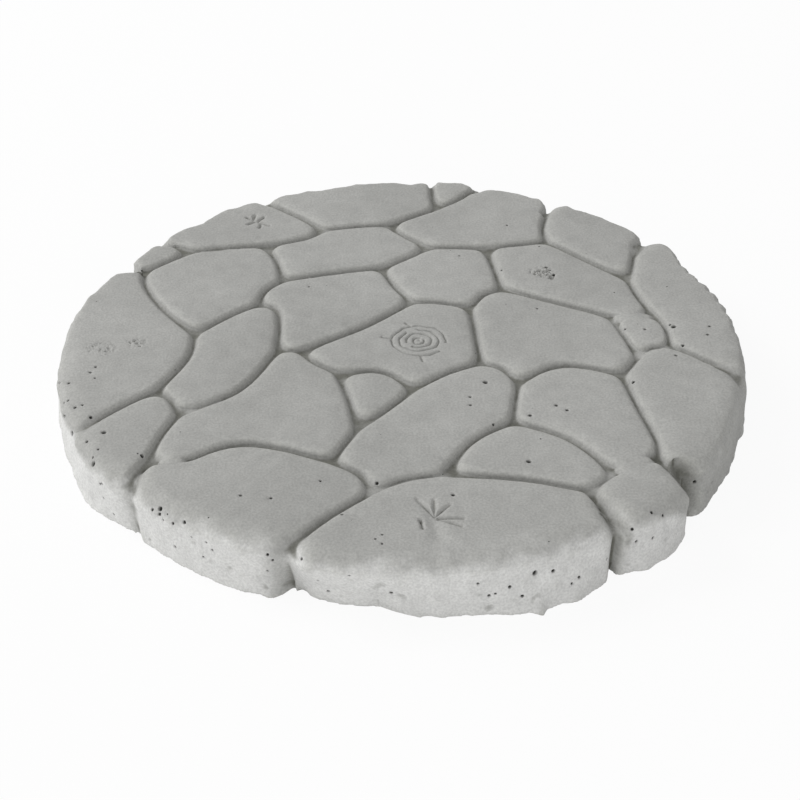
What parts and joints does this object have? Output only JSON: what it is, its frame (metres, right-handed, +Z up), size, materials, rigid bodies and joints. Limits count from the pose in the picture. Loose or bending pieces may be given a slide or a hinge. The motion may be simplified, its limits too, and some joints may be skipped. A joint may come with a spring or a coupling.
{
  "type": "garden stepping stone",
  "caption": "Round stepping stone cast in concrete, its face moulded as crazy paving with round-shouldered cobbles between sunk joints, laid flat on the ground to walk on.",
  "frame": {"origin": "middle of the base, on the ground", "axes": "+Z up through the thickness; +Y to the back of the paving pattern as pictured, +X to its right"},
  "size_m": [0.4024, 0.4079, 0.038],
  "materials": {
    "cast_concrete": "cast grey cement, matt, with air holes and paler skin on the rim"
  },
  "bodies": {
    "root": {"stepping_stone": "cast_concrete"}
  },
  "joints": []
}
